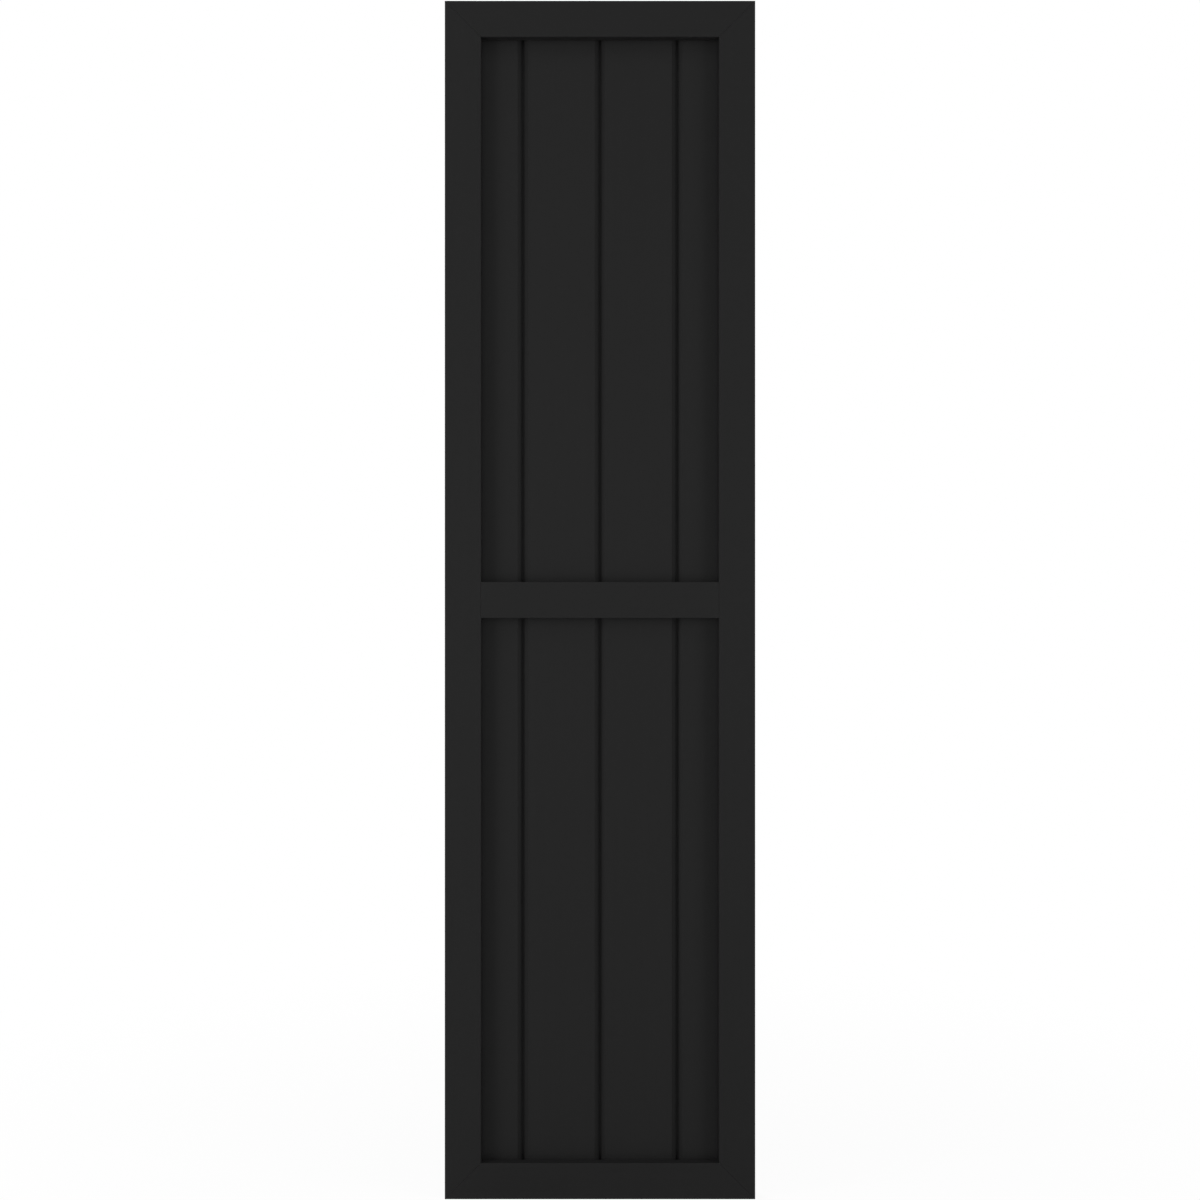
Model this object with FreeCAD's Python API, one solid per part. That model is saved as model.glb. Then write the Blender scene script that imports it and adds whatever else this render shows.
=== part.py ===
# Board and batten shutter: a panel of tongue-and-groove boards with a mitred frame and a mid rail on its face.
# Lengths are in millimetres. X runs across the shutter, Y from its face to its back, and Z up.
# The origin is the centre of the back face, which lies flat on the wall, so the shutter's face looks along -Y.

import FreeCAD
import Part
import math
import os

Vector = FreeCAD.Vector

# The panel of boards
BOARD_COUNT = 4
BOARD_PITCH = 136.525
BOARD_THICKNESS = 19.05
SHUTTER_HEIGHT = 2108.2

# The joint between two boards: a V of two chamfers, a narrow gap below it, and the tongue at the gap's bottom
FACE_CHAMFER = 7.9375
FACE_GAP = 3.175
GAP_WALL = 2.38125
TONGUE_THICKNESS = 4.7625
TONGUE_REACH = 7.9375
TONGUE_ROUND = 1.2
TONGUE_SIDE_PLAY = 0.15
TONGUE_END_PLAY = 0.8

# The frame and the mid rail on the panel's face
FRAME_WIDTH = 63.5
FRAME_THICKNESS = 19.05
MID_RAIL_WIDTH = 63.5

# The holes through the boards for the screws that hold the frame from behind, sunk at the back for their heads,
# and the widest spacing along each kind of frame member
HEAD_SINK_DIAMETER = 9.0
CLEARANCE_DIAMETER = 4.5
DRILL_RUN_OUT = 1.0
RAIL_SCREW_SPACING = 80.0
STILE_SCREW_SPACING = 305.0

# The cement in every butt and mitre, and the eased edge that the milled stock has along its length
GLUE_LINE = 0.2
EASED_EDGE = 0.8

# Sizes that follow from those above
PANEL_WIDTH = BOARD_COUNT * BOARD_PITCH
PANEL_FACE_Y = -BOARD_THICKNESS
CHAMFER_FOOT_Y = PANEL_FACE_Y + FACE_CHAMFER
TONGUE_FACE_Y = CHAMFER_FOOT_Y + GAP_WALL
TONGUE_BACK_Y = TONGUE_FACE_Y + TONGUE_THICKNESS
TONGUE_TIP = FACE_GAP / 2 + TONGUE_REACH
SHUTTER_FACE_Y = PANEL_FACE_Y - FRAME_THICKNESS
FRAME_OPENING_WIDTH = PANEL_WIDTH - 2 * FRAME_WIDTH
FRAME_CENTRE_X = (PANEL_WIDTH - FRAME_WIDTH) / 2
FRAME_CENTRE_Z = (SHUTTER_HEIGHT - FRAME_WIDTH) / 2


def rounded_face(corners, to_space):
    """Flat face inside an outline. Each corner is (u, v, radius), and a radius above 0 gives a tangent arc.

    to_space turns a (u, v) pair into a point of the model.
    """
    points = [Vector(u, v, 0) for u, v, radius in corners]
    edges = []
    arcs = []
    for index, (u, v, radius) in enumerate(corners):
        corner = points[index]
        before = (points[index - 1] - corner).normalize()
        after = (points[(index + 1) % len(points)] - corner).normalize()
        if radius == 0:
            arcs.append((corner, None, corner))
            continue
        half_angle = before.getAngle(after) / 2
        setback = radius / math.tan(half_angle)
        bisector = (before + after).normalize()
        middle = corner + bisector * (radius / math.sin(half_angle) - radius)
        arcs.append((corner + before * setback, middle, corner + after * setback))
    for index, (arc_start, arc_middle, arc_end) in enumerate(arcs):
        stretch_start = arcs[index - 1][2]
        edges.append(Part.makeLine(to_space(stretch_start), to_space(arc_start)))
        if arc_middle is not None:
            edges.append(Part.Arc(to_space(arc_start), to_space(arc_middle), to_space(arc_end)).toShape())
    return Part.Face(Part.Wire(edges))


def tongue_side(joint_x):
    """Outline of the board's right edge at a joint, from its face to its back."""
    return [
        (joint_x - FACE_GAP / 2 - FACE_CHAMFER, PANEL_FACE_Y, 0),
        (joint_x - FACE_GAP / 2, CHAMFER_FOOT_Y, 0),
        (joint_x - FACE_GAP / 2, TONGUE_FACE_Y, 0),
        (joint_x + TONGUE_TIP, TONGUE_FACE_Y, TONGUE_ROUND),
        (joint_x + TONGUE_TIP, TONGUE_BACK_Y, TONGUE_ROUND),
        (joint_x - GLUE_LINE / 2, TONGUE_BACK_Y, 0),
        (joint_x - GLUE_LINE / 2, 0, 0),
    ]


def groove_side(joint_x):
    """Outline of the board's left edge at a joint, from its back to its face."""
    groove_end_x = joint_x + TONGUE_TIP + TONGUE_END_PLAY
    return [
        (joint_x + GLUE_LINE / 2, 0, 0),
        (joint_x + GLUE_LINE / 2, TONGUE_BACK_Y + TONGUE_SIDE_PLAY, 0),
        (groove_end_x, TONGUE_BACK_Y + TONGUE_SIDE_PLAY, 0),
        (groove_end_x, TONGUE_FACE_Y - TONGUE_SIDE_PLAY, 0),
        (joint_x + FACE_GAP / 2, TONGUE_FACE_Y - TONGUE_SIDE_PLAY, 0),
        (joint_x + FACE_GAP / 2, CHAMFER_FOOT_Y, 0),
        (joint_x + FACE_GAP / 2 + FACE_CHAMFER, PANEL_FACE_Y, 0),
    ]


def sawn_side(edge_x, y_order):
    """Outline of the panel's outer edge, where the tongue or groove is sawn off and the corners are eased."""
    return [(edge_x, y, EASED_EDGE) for y in y_order]


def board_sides(index):
    """X of a board's left and right edge. Boards are numbered from 0 at the left."""
    left_x = index * BOARD_PITCH - PANEL_WIDTH / 2
    return left_x, left_x + BOARD_PITCH


def evenly_spaced(low, high, widest):
    """Middles of the equal stretches, none wider than widest, that divide the way from low to high."""
    count = math.ceil((high - low) / widest)
    step = (high - low) / count
    return [low + (number + 0.5) * step for number in range(count)]


def rail_screws(rail_z):
    """Places (x, z) of a rail's screws, spread over the part of each board that shows between the stiles."""
    places = []
    for index in range(BOARD_COUNT):
        left_x, right_x = board_sides(index)
        low = max(left_x, -FRAME_OPENING_WIDTH / 2)
        high = min(right_x, FRAME_OPENING_WIDTH / 2)
        places += [(x, rail_z) for x in evenly_spaced(low, high, RAIL_SCREW_SPACING)]
    return places


def stile_screws(stile_x):
    """Places (x, z) of a stile's screws, spread over its length."""
    return [(stile_x, z) for z in evenly_spaced(-SHUTTER_HEIGHT / 2, SHUTTER_HEIGHT / 2, STILE_SCREW_SPACING)]


def countersunk_drill(x, z):
    """Cutter for one screw's hole through a board, with a right-angled countersink at the board's back."""
    sink_radius = HEAD_SINK_DIAMETER / 2
    clearance_radius = CLEARANCE_DIAMETER / 2
    profile = [
        (0, DRILL_RUN_OUT),
        (sink_radius + DRILL_RUN_OUT, DRILL_RUN_OUT),
        (clearance_radius, clearance_radius - sink_radius),
        (clearance_radius, PANEL_FACE_Y - DRILL_RUN_OUT),
        (0, PANEL_FACE_Y - DRILL_RUN_OUT),
    ]
    outline = Part.makePolygon([Vector(x + radius, y, z) for radius, y in profile + profile[:1]])
    return Part.Face(outline).revolve(Vector(x, 0, z), Vector(0, 1, 0), 360)


def board(index):
    """One upright board with its screw holes."""
    left_x, right_x = board_sides(index)
    is_first = index == 0
    is_last = index == BOARD_COUNT - 1
    left = sawn_side(left_x, (0, PANEL_FACE_Y)) if is_first else groove_side(left_x)
    right = sawn_side(right_x, (PANEL_FACE_Y, 0)) if is_last else tongue_side(right_x)
    section = rounded_face(left + right, lambda p: Vector(p.x, p.y, -SHUTTER_HEIGHT / 2))
    blank = section.extrude(Vector(0, 0, SHUTTER_HEIGHT))
    drills = [countersunk_drill(x, z) for x, z in SCREW_PLACES if left_x < x < right_x]
    return blank.cut(drills)


def frame_stock(length, outer_z):
    """Straight length of frame stock along X, with all its long edges eased and its outer edge at outer_z."""
    inner_z = outer_z - FRAME_WIDTH
    section = [
        (SHUTTER_FACE_Y, outer_z, EASED_EDGE),
        (PANEL_FACE_Y, outer_z, EASED_EDGE),
        (PANEL_FACE_Y, inner_z, EASED_EDGE),
        (SHUTTER_FACE_Y, inner_z, EASED_EDGE),
    ]
    return rounded_face(section, lambda p: Vector(-length / 2, p.x, p.y)).extrude(Vector(length, 0, 0))


def mitred_member(length, outer_z, turn):
    """One side of the frame. It is cut as the top side, outer_z above the centre, and then turned about Y."""
    setback = GLUE_LINE / math.sqrt(2)
    half_outer = length / 2 - setback
    half_inner = half_outer - FRAME_WIDTH
    inner_z = outer_z - FRAME_WIDTH
    mitres = [(-half_outer, outer_z), (half_outer, outer_z), (half_inner, inner_z), (-half_inner, inner_z)]
    outline = Part.makePolygon([Vector(x, SHUTTER_FACE_Y, z) for x, z in mitres + mitres[:1]])
    between_mitres = Part.Face(outline).extrude(Vector(0, FRAME_THICKNESS, 0))
    member = frame_stock(length, outer_z).common(between_mitres)
    member.rotate(Vector(0, 0, 0), Vector(0, 1, 0), turn)
    return member


def mid_rail():
    """Cross rail between the stiles at mid height, butted to them, with every edge eased."""
    length = FRAME_OPENING_WIDTH - 2 * GLUE_LINE
    corner = Vector(-length / 2, SHUTTER_FACE_Y, -MID_RAIL_WIDTH / 2)
    blank = Part.makeBox(length, FRAME_THICKNESS, MID_RAIL_WIDTH, corner)
    return blank.makeFillet(EASED_EDGE, blank.Edges)


def export(name, shape):
    """Writes one piece to its own file, and stops if it isn't one closed solid."""
    solids = shape.Solids
    if len(solids) != 1 or not solids[0].isValid():
        raise ValueError(f"{name} is not one valid solid")
    solids[0].exportStep(f"parts/{name}.step")


SCREW_PLACES = [
    *rail_screws(FRAME_CENTRE_Z),
    *rail_screws(0),
    *rail_screws(-FRAME_CENTRE_Z),
    *stile_screws(-FRAME_CENTRE_X),
    *stile_screws(FRAME_CENTRE_X),
]

os.makedirs("parts", exist_ok=True)

for number in range(BOARD_COUNT):
    export(f"board_{number + 1}", board(number))

export("top_rail", mitred_member(PANEL_WIDTH, SHUTTER_HEIGHT / 2, 0))
export("right_stile", mitred_member(SHUTTER_HEIGHT, PANEL_WIDTH / 2, 90))
export("bottom_rail", mitred_member(PANEL_WIDTH, SHUTTER_HEIGHT / 2, 180))
export("left_stile", mitred_member(SHUTTER_HEIGHT, PANEL_WIDTH / 2, 270))
export("mid_rail", mid_rail())
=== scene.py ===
"""Finish, back screws and studio for the framed board and batten shutter.

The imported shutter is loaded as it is. This file paints its boards, stiles and rails, drives the screws that
hold the boards to the frame from behind, and sets up a plain studio with the camera straight in front.
Everything is in metres: X runs across the shutter, Y from its face to the wall, and Z up.
"""

import math

import bmesh
import bpy
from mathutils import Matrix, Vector


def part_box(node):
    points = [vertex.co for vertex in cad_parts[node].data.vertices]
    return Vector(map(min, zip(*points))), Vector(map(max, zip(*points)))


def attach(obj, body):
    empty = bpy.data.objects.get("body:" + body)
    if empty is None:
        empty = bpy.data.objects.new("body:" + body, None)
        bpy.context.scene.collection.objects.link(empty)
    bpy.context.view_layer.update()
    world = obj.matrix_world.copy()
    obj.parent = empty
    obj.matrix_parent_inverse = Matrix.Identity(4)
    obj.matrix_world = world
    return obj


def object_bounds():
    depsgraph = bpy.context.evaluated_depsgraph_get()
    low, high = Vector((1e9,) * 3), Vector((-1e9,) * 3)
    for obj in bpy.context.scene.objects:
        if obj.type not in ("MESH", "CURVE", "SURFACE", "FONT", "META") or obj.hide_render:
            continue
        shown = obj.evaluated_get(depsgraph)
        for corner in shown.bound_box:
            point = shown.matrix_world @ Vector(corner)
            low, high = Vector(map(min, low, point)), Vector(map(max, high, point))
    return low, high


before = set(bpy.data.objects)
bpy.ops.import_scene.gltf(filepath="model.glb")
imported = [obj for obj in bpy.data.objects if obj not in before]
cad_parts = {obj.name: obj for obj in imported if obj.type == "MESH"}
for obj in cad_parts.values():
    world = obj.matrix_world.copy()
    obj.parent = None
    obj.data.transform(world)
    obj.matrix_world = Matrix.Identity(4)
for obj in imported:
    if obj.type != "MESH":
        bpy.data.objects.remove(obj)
CAD_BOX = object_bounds()

bl_info = {
    "name": "Board and Batten Shutter",
    "version": (1, 0, 0),
    "blender": (4, 5, 0),
    "location": "3D View > Sidebar > Shutter",
    "description": "Paints a framed board and batten shutter, drives its back screws and sets up a studio",
    "category": "Object",
}

# The pieces of the shutter
BOARDS = ("board_1", "board_2", "board_3", "board_4")
STILES = ("left_stile", "right_stile")
RAILS = ("top_rail", "mid_rail", "bottom_rail")

# The axis that the stock's grain runs along: Z in the boards and stiles, and X in the rails
GRAIN_UPRIGHT = 2
GRAIN_LEVEL = 0

# How far each piece's patterns are moved along X, Y and Z from those of the piece before it
PATTERN_SHIFT = Vector((3.1, 1.7, 2.3))

# The planer's streaks and the saw's marks are this many times longer than wide
STREAK_STRETCH = 60
KERF_STRETCH = 20

# How wide the slow clouds are where the coat is thicker or thinner
CLOUD_SIZE = 0.2

# How much the streaks and the clouds change the paint's lightness, as a share of it, and its roughness
STREAK_TONE = 0.08
CLOUD_TONE = 0.06
STREAK_ROUGHNESS = 0.08
CLOUD_ROUGHNESS = 0.1

# How far in from a sawn face its look fades out, how much rougher it is, and how much painted shade darkens
# its pores
SAWN_EDGE = 0.0003
SAWN_ROUGHNESS = 0.14
PAINTED_PORE_SHADE = 0.25

# The noise above which a pore begins and is deepest
PORE_RIM, PORE_BOTTOM = 0.58, 0.75

# How much lighter, or darker below 0, each piece's paint is than the mean. These tones are painted light and
# shade, set so that each piece renders as it is lit: the end boards beside the stiles are darker as painted
# shade, and the left stile is lighter and the right one darker as painted light from the left
PAINTED_LIGHT_TONES = {
    "board_1": -0.02,
    "board_2": 0.0,
    "board_3": -0.01,
    "board_4": -0.02,
    "left_stile": 0.012,
    "right_stile": -0.012,
    "top_rail": -0.014,
    "mid_rail": -0.004,
    "bottom_rail": 0.014,
}

# Where the sizes come from: the shutter's own box
LOW, HIGH = CAD_BOX
CENTRE = (LOW + HIGH) / 2
SHUTTER_WIDTH = HIGH.x - LOW.x
SHUTTER_HEIGHT = HIGH.z - LOW.z
FACE_Y = LOW.y
BACK_Y = HIGH.y

# The screw holes as they are drilled: how wide they are sunk, and the widest spacing along a rail and a stile
SINK_DIAMETER = 0.009
RAIL_SCREW_SPACING = 0.080
STILE_SCREW_SPACING = 0.305

# The screw is turned from a blank of this many sides, which its drive's lobes share out evenly
SCREW_SIDES = 48
DRIVE_LOBES = 6
POINTS_PER_LOBE = SCREW_SIDES // DRIVE_LOBES

# How the screw tapers: its point's end beside its shank, and the drive's floor beside its mouth
POINT_TAPER = 0.1
DRIVE_TAPER = 0.94

# The dip that the punch leaves in the drive's floor: how far in its edge lies and how deep it is, as shares
# of the drive's waist
DIP_INSET = 1 / 6
DIP_DEPTH = 1 / 10

# A face whose normal rises or falls by more than this is level, and a height this close to 0 counts as 0
LEVEL = 0.9
CLOSE = 1e-6

# Edges of the screw that turn by more than this stay sharp
SHARP_ANGLE = math.radians(35)

# Each screw stands this much further round than the one before it, as screws driven in a row come to rest
SCREW_TURN = math.radians(137.5)

# The steel's haze and its fine grain: how wide each is and how deep the grain is
HAZE_SIZE = 1 / 900
STEEL_GRAIN_SIZE = 1 / 9000
STEEL_GRAIN_DEPTH = 0.000004

# The steel's roughness where there is no haze, how much the haze adds, and how much it changes the lightness
STEEL_ROUGHNESS = 0.28
HAZE_ROUGHNESS = 0.16
HAZE_TONE = 0.2

# The photograph's frame and how high the shutter stands in it, in pixels
PHOTO_SIDE = 1200
SHUTTER_IN_PHOTO = 1198.6

WHITE = (1.0, 1.0, 1.0, 1.0)

# The studio floor's side, and how near and how far from the shutter its own light and shadow fade out
FLOOR_SIDE = 40.0
SHADE_NEAR, SHADE_FAR = 0.3, 2.0

# Each lamp's name, place, width and height, and its power as a share of the left one's
SOFTBOXES = (
    ("left_softbox", (-2.6, -1.5, 0.2), 1.0, 2.6, 1.0),
    ("right_softbox", (2.6, -1.5, 0.2), 1.0, 2.6, 0.76),
    ("top_softbox", (0.0, -1.6, 3.4), 2.4, 1.2, 0.356),
    ("front_softbox", (0.0, -4.6, 0.6), 3.0, 3.0, 0.3),
    ("back_softbox", (-1.2, 2.4, 3.4), 2.4, 1.2, 2.1),
)


class Signal:
    """One output in a node tree. A sum written with it adds Math nodes to that tree."""

    def __init__(self, board, socket):
        self.board = board
        self.socket = socket

    def sum(self, operation, *values):
        return self.board.node("ShaderNodeMath", "Value", dict(enumerate(values)), operation=operation)

    def __add__(self, other):
        return self.sum("ADD", self, other)

    def __radd__(self, other):
        return self.sum("ADD", other, self)

    def __sub__(self, other):
        return self.sum("SUBTRACT", self, other)

    def __rsub__(self, other):
        return self.sum("SUBTRACT", other, self)

    def __mul__(self, other):
        return self.sum("MULTIPLY", self, other)

    def __rmul__(self, other):
        return self.sum("MULTIPLY", other, self)

    def __abs__(self):
        return self.sum("ABSOLUTE", self)

    def at_least(self, other):
        return self.sum("MAXIMUM", self, other)


class NodeBoard:
    """The nodes of one material or world, cleared and laid out by code."""

    def __init__(self, owner):
        owner.use_nodes = True
        self.tree = owner.node_tree
        self.tree.nodes.clear()

    def add(self, kind, inputs, **settings):
        """Adds a node. Its settings come first, and then each input takes a value or a link."""
        made = self.tree.nodes.new(kind)
        for setting, value in settings.items():
            setattr(made, setting, value)
        for key, value in inputs.items():
            socket = made.inputs[key] if isinstance(key, int) else self.live(made.inputs, key)
            if isinstance(value, Signal):
                self.tree.links.new(value.socket, socket)
            else:
                socket.default_value = value
        return made

    def node(self, kind, result, inputs, **settings):
        """Adds a node and gives the output of that name."""
        made = self.add(kind, inputs, **settings)
        return Signal(self, self.live(made.outputs, result))

    @staticmethod
    def live(sockets, name):
        """The socket of that name which the node's settings leave in use."""
        return next(socket for socket in sockets if socket.name == name and socket.enabled)

    def place(self):
        """The point of the piece that is being shaded, in metres."""
        return self.node("ShaderNodeTexCoord", "Object", {})

    def split(self, vector):
        """The X, Y and Z of a vector."""
        parts = self.add("ShaderNodeSeparateXYZ", {"Vector": vector})
        return [Signal(self, parts.outputs[axis]) for axis in "XYZ"]

    def noise(self, place, sizes, shift, detail):
        """Noise from 0 to 1. sizes holds the width of its grain on each axis, and shift moves it."""
        rates = [1 / size for size in sizes]
        moved = self.node(
            "ShaderNodeMapping", "Vector", {"Vector": place, "Location": shift, "Scale": rates}
        )
        return self.node("ShaderNodeTexNoise", "Fac", {"Vector": moved, "Scale": 1.0, "Detail": detail})

    def ramp(self, value, start, end):
        """0 where value is at start or before, 1 at end or past it, and smooth between."""
        limits = {"Value": value, "From Min": start, "From Max": end}
        return self.node("ShaderNodeMapRange", "Result", limits, interpolation_type="SMOOTHSTEP")

    def shaded(self, colour, tone):
        """A colour made lighter or darker by tone, where 1 leaves it as it is."""
        inputs = {"Vector": list(colour), "Scale": tone}
        return self.node("ShaderNodeVectorMath", "Vector", inputs, operation="SCALE")

    def bump(self, relief):
        """The normal of a surface with this relief, in metres."""
        inputs = {"Height": relief, "Distance": 1.0, "Strength": 1.0}
        return self.node("ShaderNodeBump", "Normal", inputs)

    def coat_piece(self, finish):
        """Ends the board with one principled shader, whose inputs finish gives."""
        shader = self.node("ShaderNodeBsdfPrincipled", "BSDF", finish)
        self.add("ShaderNodeOutputMaterial", {"Surface": shader})


class ShutterPaint(bpy.types.PropertyGroup):
    """The satin paint on the boards and the frame."""

    colour: bpy.props.FloatVectorProperty(
        name="Colour",
        description="Colour of the dry paint",
        subtype="COLOR",
        size=3,
        min=0.0,
        max=1.0,
        default=(0.0145, 0.0145, 0.0145),
    )
    roughness: bpy.props.FloatProperty(
        name="Roughness",
        description="How far the satin sheen is spread, from mirror at 0 to chalk at 1",
        subtype="FACTOR",
        min=0.0,
        max=1.0,
        default=0.46,
    )
    gloss: bpy.props.FloatProperty(
        name="Gloss",
        description="Strength of the sheen, where 0.5 is a full gloss paint",
        subtype="FACTOR",
        min=0.0,
        max=1.0,
        default=0.06,
    )
    peel_size: bpy.props.FloatProperty(
        name="Orange peel size",
        description="Width of one dimple in the sprayed paint",
        unit="LENGTH",
        precision=5,
        min=0.0002,
        default=0.003,
    )
    peel_depth: bpy.props.FloatProperty(
        name="Orange peel depth",
        description="Depth of a dimple in the sprayed paint",
        unit="LENGTH",
        precision=6,
        min=0.0,
        default=0.000035,
    )
    streak_width: bpy.props.FloatProperty(
        name="Streak width",
        description="Width of a streak that the planer left along the stock",
        unit="LENGTH",
        precision=5,
        min=0.0005,
        default=0.005,
    )
    streak_depth: bpy.props.FloatProperty(
        name="Streak depth",
        description="Depth of a streak that the planer left along the stock",
        unit="LENGTH",
        precision=6,
        min=0.0,
        default=0.00004,
    )
    kerf_width: bpy.props.FloatProperty(
        name="Saw mark width",
        description="Width of a saw mark on the boards' ends and outer sides",
        unit="LENGTH",
        precision=5,
        min=0.0002,
        default=0.0014,
    )
    kerf_depth: bpy.props.FloatProperty(
        name="Saw mark depth",
        description="Depth of a saw mark on the boards' ends and outer sides",
        unit="LENGTH",
        precision=6,
        min=0.0,
        default=0.00006,
    )
    pore_size: bpy.props.FloatProperty(
        name="Pore size",
        description="Width of a cell that the saw opened and the paint didn't fill",
        unit="LENGTH",
        precision=5,
        min=0.0001,
        default=0.0005,
    )
    pore_depth: bpy.props.FloatProperty(
        name="Pore depth",
        description="Depth of a cell that the saw opened and the paint didn't fill",
        unit="LENGTH",
        precision=6,
        min=0.0,
        default=0.00008,
    )


class ShutterScrews(bpy.types.PropertyGroup):
    """The countersunk screws in the shutter's back."""

    head_diameter: bpy.props.FloatProperty(
        name="Head diameter",
        description="Width of the flat head",
        unit="LENGTH",
        precision=4,
        min=0.006,
        max=0.0088,
        default=0.0082,
    )
    head_rim: bpy.props.FloatProperty(
        name="Head rim",
        description="Height of the straight rim round the head",
        unit="LENGTH",
        precision=5,
        min=0.0001,
        max=0.001,
        default=0.0002,
    )
    shank_diameter: bpy.props.FloatProperty(
        name="Shank diameter",
        description="Width of the shank under the head",
        unit="LENGTH",
        precision=4,
        min=0.002,
        max=0.0044,
        default=0.0034,
    )
    length: bpy.props.FloatProperty(
        name="Length",
        description="From the head's face to the point",
        unit="LENGTH",
        precision=5,
        min=0.02,
        max=0.036,
        default=0.03175,
    )
    point_length: bpy.props.FloatProperty(
        name="Point length",
        description="Length of the tapered point",
        unit="LENGTH",
        precision=4,
        min=0.001,
        default=0.005,
    )
    drive_diameter: bpy.props.FloatProperty(
        name="Drive diameter",
        description="Width across the lobes of the drive",
        unit="LENGTH",
        precision=5,
        min=0.002,
        default=0.0039,
    )
    drive_waist: bpy.props.FloatProperty(
        name="Drive waist",
        description="Width of the drive between its lobes",
        unit="LENGTH",
        precision=5,
        min=0.001,
        default=0.0028,
    )
    drive_depth: bpy.props.FloatProperty(
        name="Drive depth",
        description="Depth of the drive's walls",
        unit="LENGTH",
        precision=5,
        min=0.0005,
        max=0.002,
        default=0.0016,
    )
    steel: bpy.props.FloatVectorProperty(
        name="Steel",
        description="Colour of the stainless steel",
        subtype="COLOR",
        size=3,
        min=0.0,
        max=1.0,
        default=(0.56, 0.55, 0.53),
    )


class ShutterStudio(bpy.types.PropertyGroup):
    """The camera, the lamps and the floor round the shutter."""

    lens: bpy.props.FloatProperty(
        name="Lens",
        description="Focal length of the camera in millimetres",
        min=20.0,
        max=200.0,
        default=50.0,
    )
    floor_colour: bpy.props.FloatVectorProperty(
        name="Floor",
        description="Colour of the studio floor",
        subtype="COLOR",
        size=3,
        min=0.0,
        max=1.0,
        default=(0.8, 0.8, 0.8),
    )
    floor_shade: bpy.props.FloatProperty(
        name="Floor shade",
        description="How much of the floor's own light and shadow the lens sees near the shutter",
        subtype="FACTOR",
        min=0.0,
        max=1.0,
        default=0.07,
    )
    lamp_power: bpy.props.FloatProperty(
        name="Lamp power",
        description="Power of the left softbox, which the other lamps follow",
        unit="POWER",
        min=0.0,
        default=56.4,
    )
    ambient: bpy.props.FloatProperty(
        name="Ambient light",
        description="Light that comes evenly from every side",
        min=0.0,
        max=1.0,
        default=0.2,
    )


def satin_paint(node, grain_axis, shift, sawn):
    """Satin paint on one piece of milled stock, whose grain runs along an axis.

    shift counts the pieces, so that no two of them share a pattern. sawn says that the piece's ends and outer
    sides were sawn after milling.
    """
    settings = bpy.context.scene.shutter_paint
    paint = bpy.data.materials.new(f"Satin black {node}")
    board = NodeBoard(paint)
    place = board.place()
    offset = PATTERN_SHIFT * shift

    # Streaks along the grain, the orange peel of the spray, and slow clouds where the coat is thicker
    streak = [settings.streak_width] * 3
    streak[grain_axis] *= STREAK_STRETCH
    streaks = board.noise(place, streak, offset, 3.0)
    peel = board.noise(place, [settings.peel_size] * 3, offset, 1.0)
    clouds = board.noise(place, [CLOUD_SIZE] * 3, offset, 2.0)
    # The piece's tone from the table is painted light and shade, while the streaks and clouds are the paint's
    # own
    tone = (1 + PAINTED_LIGHT_TONES[node]) * (1 + (streaks - 0.5) * STREAK_TONE + (clouds - 0.5) * CLOUD_TONE)
    roughness = settings.roughness + (clouds - 0.5) * CLOUD_ROUGHNESS + (streaks - 0.5) * STREAK_ROUGHNESS
    relief = peel * settings.peel_depth + streaks * settings.streak_depth

    if sawn:
        # Saw marks run across the thickness, and the pores are small, scattered and deepest in their middles
        x, _, z = board.split(place)
        beside = board.ramp(abs(x), SHUTTER_WIDTH / 2 - SAWN_EDGE, SHUTTER_WIDTH / 2)
        at_end = board.ramp(abs(z), SHUTTER_HEIGHT / 2 - SAWN_EDGE, SHUTTER_HEIGHT / 2)
        cut = beside.at_least(at_end)
        kerf = [settings.kerf_width, settings.kerf_width * KERF_STRETCH, settings.kerf_width]
        kerfs = board.noise(place, kerf, offset, 2.0)
        cells = board.noise(place, [settings.pore_size] * 3, offset, 1.0)
        pores = board.ramp(cells, PORE_RIM, PORE_BOTTOM)
        relief = relief + (kerfs * settings.kerf_depth - pores * settings.pore_depth) * cut
        roughness = roughness + cut * SAWN_ROUGHNESS
        # The pores' colour is darkened as painted shade in the pits
        tone = tone * (1 - pores * cut * PAINTED_PORE_SHADE)

    board.coat_piece(
        {
            "Base Color": board.shaded(settings.colour, tone),
            "Roughness": roughness,
            "Normal": board.bump(relief),
            "Specular IOR Level": settings.gloss,
        }
    )
    return paint


def paint_piece(node, grain_axis, shift, sawn):
    """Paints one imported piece. The paint goes on its material slot, and its mesh stays as it is."""
    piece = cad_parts[node]
    piece.data.materials.clear()
    piece.data.materials.append(satin_paint(node, grain_axis, shift, sawn))


class SHUTTER_OT_paint_boards(bpy.types.Operator):
    """Paint the upright boards"""

    bl_idname = "shutter.paint_boards"
    bl_label = "Paint Boards"

    def execute(self, context):
        for shift, node in enumerate(BOARDS, start=1):
            paint_piece(node, GRAIN_UPRIGHT, shift, True)
        return {"FINISHED"}


class SHUTTER_OT_paint_frame(bpy.types.Operator):
    """Paint the stiles and the rails"""

    bl_idname = "shutter.paint_frame"
    bl_label = "Paint Frame"

    def execute(self, context):
        first = len(BOARDS) + 1
        for shift, node in enumerate(STILES, start=first):
            paint_piece(node, GRAIN_UPRIGHT, shift, False)
        for shift, node in enumerate(RAILS, start=first + len(STILES)):
            paint_piece(node, GRAIN_LEVEL, shift, False)
        return {"FINISHED"}


def cell_middles(low, high, widest):
    """Middles of the equal cells, none wider than widest, that divide the way from low to high."""
    count = math.ceil((high - low) / widest)
    step = (high - low) / count
    return [low + (number + 0.5) * step for number in range(count)]


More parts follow.
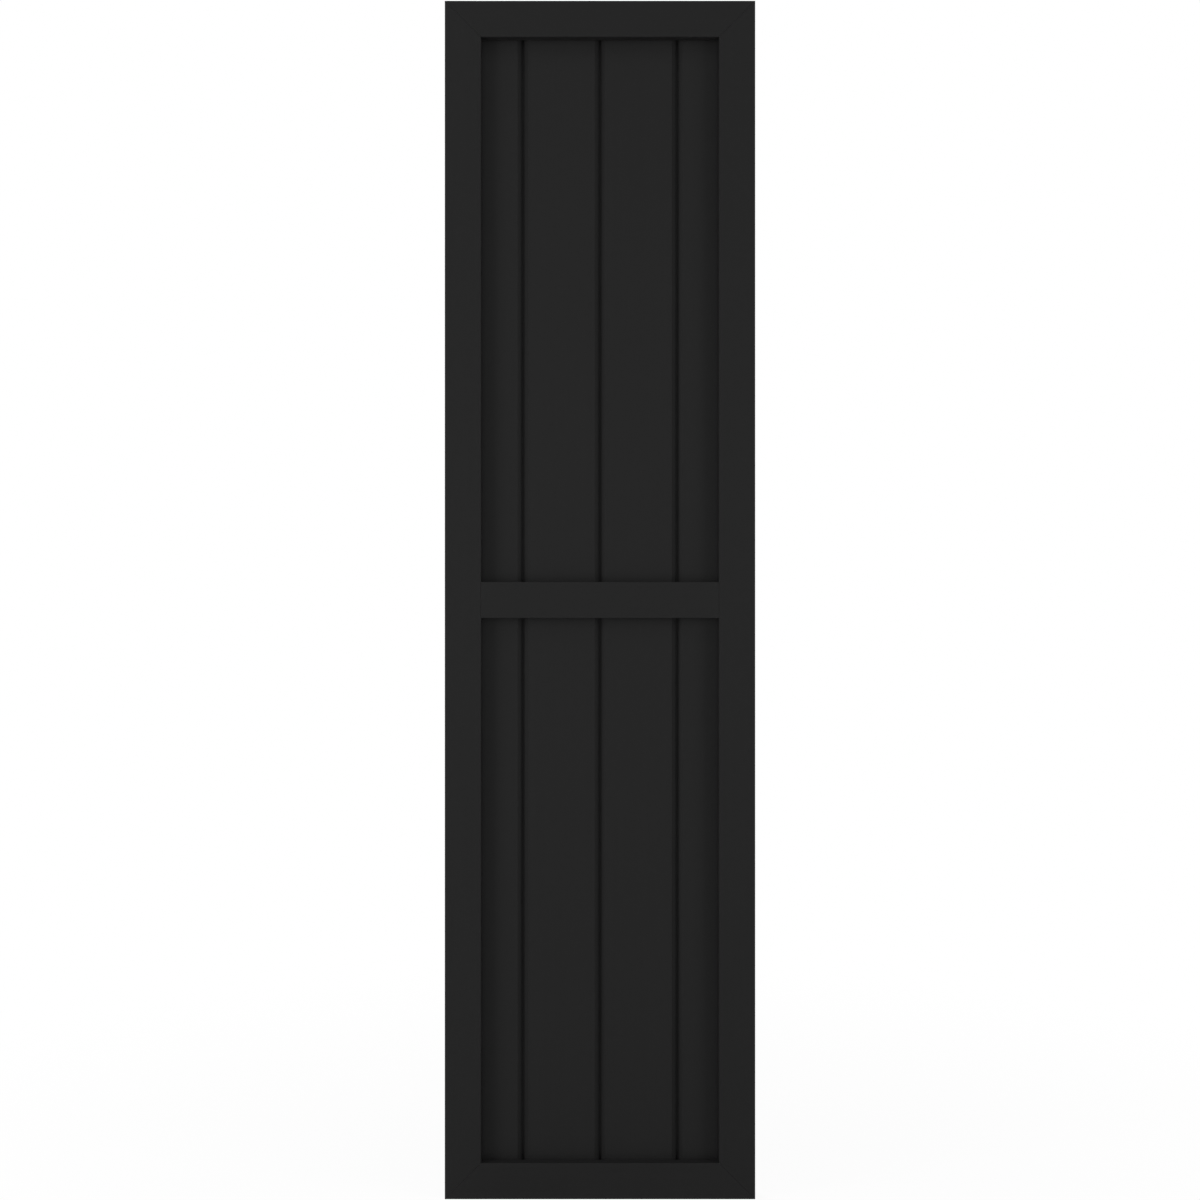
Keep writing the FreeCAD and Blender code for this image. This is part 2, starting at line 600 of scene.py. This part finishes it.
def rail_screws(rail):
    """X and Z of a rail's screws, spread over the part of each board that shows between the stiles."""
    left_stile, right_stile = (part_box(stile) for stile in STILES)
    pitch = SHUTTER_WIDTH / len(BOARDS)
    joints = [LOW.x + pitch * number for number in range(1, len(BOARDS))]
    edges = [left_stile[1].x, *joints, right_stile[0].x]
    low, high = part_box(rail)
    places = []
    for start, end in zip(edges, edges[1:]):
        places += [(x, (low.z + high.z) / 2) for x in cell_middles(start, end, RAIL_SCREW_SPACING)]
    return places


def stile_screws(stile):
    """X and Z of a stile's screws, spread over its length."""
    low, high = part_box(stile)
    return [((low.x + high.x) / 2, z) for z in cell_middles(LOW.z, HIGH.z, STILE_SCREW_SPACING)]


def select_in_edit(mesh, kind, wanted):
    """In edit mode, selects just the faces or vertices that are wanted."""
    bpy.ops.mesh.select_mode(type=kind)
    bpy.ops.mesh.select_all(action="DESELECT")
    edited = bmesh.from_edit_mesh(mesh)
    for element in edited.faces if kind == "FACE" else edited.verts:
        element.select_set(wanted(element))
    bmesh.update_edit_mesh(mesh)


def looks_up(face):
    """Whether a face is level and looks upwards."""
    return face.normal.z > LEVEL


def looks_down(face):
    """Whether a face is level and looks downwards."""
    return face.normal.z < -LEVEL


def is_drive_mouth(face):
    """Whether a face of the blank is the mouth of the drive, inside the ring of the head's face."""
    return looks_up(face) and len(face.verts) == SCREW_SIDES


def extrude_and_scale(drop, from_height, scale):
    """Extrudes the selected face downwards and scales its new end. Gives the height of that end."""
    height = from_height - drop
    bpy.ops.mesh.extrude_region_move(TRANSFORM_OT_translate={"value": (0.0, 0.0, -drop)})
    bpy.ops.transform.resize(value=(scale, scale, 1.0), center_override=(0.0, 0.0, height))
    return height


def screw_blank(settings):
    """A countersunk screw that stands upright at the origin, with its head's face at height 0."""
    head = settings.head_diameter / 2
    shank = settings.shank_diameter / 2
    rim = settings.head_rim
    bpy.ops.object.select_all(action="DESELECT")
    bpy.ops.mesh.primitive_cylinder_add(
        vertices=SCREW_SIDES, radius=head, depth=rim, location=(0.0, 0.0, -rim / 2)
    )
    screw = bpy.context.object
    bpy.ops.object.transform_apply(location=True, rotation=False, scale=False)
    bpy.ops.object.mode_set(mode="EDIT")

    # The cone under the head, the shank and the point are drawn out of the underside one after another
    select_in_edit(screw.data, "FACE", looks_down)
    cone = head - shank
    height = extrude_and_scale(cone, -rim, shank / head)
    height = extrude_and_scale(settings.length + height - settings.point_length, height, 1.0)
    extrude_and_scale(settings.point_length, height, POINT_TAPER)

    # The drive starts as a round inset of the head's face, whose outline is then waved in and out into lobes
    middle = (settings.drive_diameter + settings.drive_waist) / 4
    swing = (settings.drive_diameter - settings.drive_waist) / 4
    select_in_edit(screw.data, "FACE", looks_up)
    bpy.ops.mesh.inset(thickness=head - middle)
    reach = (head + middle) / 2
    for step in range(POINTS_PER_LOBE // 2 + 1):
        scale = 1 + math.cos(2 * math.pi * step / POINTS_PER_LOBE) * swing / middle
        select_in_edit(screw.data, "VERT", lambda point: on_drive_step(point, step, reach))
        bpy.ops.transform.resize(value=(scale, scale, 1.0), center_override=(0.0, 0.0, 0.0))
    select_in_edit(screw.data, "FACE", is_drive_mouth)
    extrude_and_scale(settings.drive_depth, 0.0, DRIVE_TAPER)
    bpy.ops.mesh.inset(thickness=settings.drive_waist * DIP_INSET)
    bpy.ops.transform.translate(value=(0.0, 0.0, -settings.drive_waist * DIP_DEPTH))
    bpy.ops.object.mode_set(mode="OBJECT")
    bpy.ops.object.shade_smooth_by_angle(angle=SHARP_ANGLE)
    return screw


def on_drive_step(point, step, reach):
    """Whether a point of the head's face, within reach, is so many steps to either side of a lobe's tip."""
    place = point.co
    if place.z < -CLOSE or place.xy.length > reach:
        return False
    turn = math.atan2(place.y, place.x) / (2 * math.pi) * SCREW_SIDES
    place_in_lobe = round(turn) % POINTS_PER_LOBE
    return place_in_lobe in (step, POINTS_PER_LOBE - step)


def screw_steel(settings):
    """Plain stainless steel, with the fine grain and the haze of a screw as it comes from the box."""
    steel = bpy.data.materials.new("Screw steel")
    board = NodeBoard(steel)
    place = board.place()
    haze = board.noise(place, [HAZE_SIZE] * 3, (0.0, 0.0, 0.0), 3.0)
    grain = board.noise(place, [STEEL_GRAIN_SIZE] * 3, (0.0, 0.0, 0.0), 1.0)
    board.coat_piece(
        {
            "Base Color": board.shaded(settings.steel, 1 - HAZE_TONE / 2 + haze * HAZE_TONE),
            "Metallic": 1.0,
            "Roughness": STEEL_ROUGHNESS + haze * HAZE_ROUGHNESS,
            "Normal": board.bump(grain * STEEL_GRAIN_DEPTH),
        }
    )
    return steel


def select_only(pieces):
    """Selects just these objects and makes the first of them the active one."""
    bpy.ops.object.select_all(action="DESELECT")
    for piece in pieces:
        piece.select_set(True)
    bpy.context.view_layer.objects.active = pieces[0]


def driven_screw(blank, x, depth, z, turn):
    """A copy of the blank, driven into the back at X and Z until its head is at a depth, and turned round."""
    select_only([blank])
    bpy.ops.object.duplicate(linked=False)
    screw = bpy.context.object
    screw.location = (x, BACK_Y - depth, z)
    screw.rotation_euler = (-math.pi / 2, turn, 0.0)
    bpy.ops.object.transform_apply(location=True, rotation=True, scale=False)
    return screw


class SHUTTER_OT_drive_screws(bpy.types.Operator):
    """Drive the screws that hold the boards to the frame from behind"""

    bl_idname = "shutter.drive_screws"
    bl_label = "Drive Screws"

    def execute(self, context):
        settings = context.scene.shutter_screws
        blank = screw_blank(settings)
        blank.data.materials.append(screw_steel(settings))
        depth = (SINK_DIAMETER - settings.head_diameter) / 2 - settings.head_rim
        rows = [(rail, rail_screws(rail)) for rail in RAILS]
        rows += [(stile, stile_screws(stile)) for stile in STILES]
        driven = 0
        for member, places in rows:
            screws = []
            for x, z in places:
                screws.append(driven_screw(blank, x, depth, z, driven * SCREW_TURN))
                driven += 1
            select_only(screws)
            bpy.ops.object.join()
            row = context.object
            row.name = f"{member}_screws"
            row.data.name = row.name
            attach(row, "root")
        bpy.data.objects.remove(blank)
        return {"FINISHED"}


def white_to_the_lens(board):
    """1 for a ray that sees the studio's white, from the lens, a reflection or a clear pane. 0 for light."""
    rays = board.add("ShaderNodeLightPath", {})
    seen = [Signal(board, rays.outputs[f"Is {kind} Ray"]) for kind in ("Camera", "Glossy", "Transmission")]
    return seen[0].at_least(seen[1]).at_least(seen[2])


def studio_world(ambient):
    """White to the lens, and an even soft light on the shutter."""
    world = bpy.data.worlds.new("Studio")
    board = NodeBoard(world)
    strength = ambient + white_to_the_lens(board) * (1 - ambient)
    background = board.node("ShaderNodeBackground", "Background", {"Color": WHITE, "Strength": strength})
    board.add("ShaderNodeOutputWorld", {"Surface": background})
    return world


def studio_floor(colour, shade):
    """A plain pale floor under the shutter, near white to the lens, which still shows a faint shadow."""
    bpy.ops.object.select_all(action="DESELECT")
    bpy.ops.mesh.primitive_plane_add(size=FLOOR_SIDE, location=(0.0, 0.0, LOW.z))
    floor = bpy.context.object
    floor.name = "studio_floor"
    finish = bpy.data.materials.new("Studio floor")
    board = NodeBoard(finish)
    matt = board.node("ShaderNodeBsdfDiffuse", "BSDF", {"Color": (*colour, 1.0)})
    white = board.node("ShaderNodeEmission", "Emission", {"Color": WHITE, "Strength": 1.0})
    distance = board.node("ShaderNodeVectorMath", "Value", {0: board.place()}, operation="LENGTH")
    fade = board.ramp(distance, SHADE_NEAR, SHADE_FAR)
    share = white_to_the_lens(board) * (1 - shade + fade * shade)
    surface = board.node("ShaderNodeMixShader", "Shader", {0: share, 1: matt, 2: white})
    board.add("ShaderNodeOutputMaterial", {"Surface": surface})
    floor.data.materials.append(finish)


def softbox(name, place, width, height, power):
    """A soft rectangular lamp that points at the shutter's centre."""
    bpy.ops.object.select_all(action="DESELECT")
    turn = (CENTRE - Vector(place)).to_track_quat("-Z", "Y").to_euler()
    bpy.ops.object.light_add(type="AREA", location=place, rotation=turn)
    lamp = bpy.context.object
    lamp.name = name
    lamp.data.shape = "RECTANGLE"
    lamp.data.size = width
    lamp.data.size_y = height
    lamp.data.energy = power


def studio_camera(lens):
    """The camera straight in front, so far off that the shutter fills the frame as in the photograph."""
    bpy.ops.object.select_all(action="DESELECT")
    bpy.ops.object.camera_add(rotation=(math.pi / 2, 0.0, 0.0))
    camera = bpy.context.object
    camera.data.lens = lens
    frame_height = SHUTTER_HEIGHT * PHOTO_SIDE / SHUTTER_IN_PHOTO
    distance = frame_height * lens / camera.data.sensor_width
    camera.location = (CENTRE.x, FACE_Y - distance, CENTRE.z)
    bpy.context.scene.camera = camera


class SHUTTER_OT_set_studio(bpy.types.Operator):
    """Set up the floor, the lamps and the camera"""

    bl_idname = "shutter.set_studio"
    bl_label = "Set Up Studio"

    def execute(self, context):
        scene = context.scene
        settings = scene.shutter_studio
        scene.world = studio_world(settings.ambient)
        scene.view_settings.view_transform = "Standard"
        studio_floor(settings.floor_colour, settings.floor_shade)
        for name, place, width, height, share in SOFTBOXES:
            softbox(name, place, width, height, settings.lamp_power * share)
        studio_camera(settings.lens)
        return {"FINISHED"}


class SHUTTER_PT_panel(bpy.types.Panel):
    """The shutter's settings and steps in the sidebar"""

    bl_idname = "SHUTTER_PT_panel"
    bl_label = "Shutter"
    bl_space_type = "VIEW_3D"
    bl_region_type = "UI"
    bl_category = "Shutter"

    def draw(self, context):
        layout = self.layout
        for group in GROUPS:
            settings = getattr(context.scene, group)
            box = layout.box()
            for name in settings.__annotations__:
                box.prop(settings, name)
        for step in STEPS:
            layout.operator(step.bl_idname)


GROUPS = {"shutter_paint": ShutterPaint, "shutter_screws": ShutterScrews, "shutter_studio": ShutterStudio}
STEPS = (SHUTTER_OT_paint_boards, SHUTTER_OT_paint_frame, SHUTTER_OT_drive_screws, SHUTTER_OT_set_studio)
CLASSES = (*GROUPS.values(), *STEPS, SHUTTER_PT_panel)


def register():
    for kind in CLASSES:
        bpy.utils.register_class(kind)
    for name, kind in GROUPS.items():
        setattr(bpy.types.Scene, name, bpy.props.PointerProperty(type=kind))


def unregister():
    for name in GROUPS:
        delattr(bpy.types.Scene, name)
    for kind in reversed(CLASSES):
        bpy.utils.unregister_class(kind)


def main():
    register()
    bpy.ops.shutter.paint_boards()
    bpy.ops.shutter.paint_frame()
    bpy.ops.shutter.drive_screws()
    bpy.ops.shutter.set_studio()


if __name__ == "__main__":
    main()
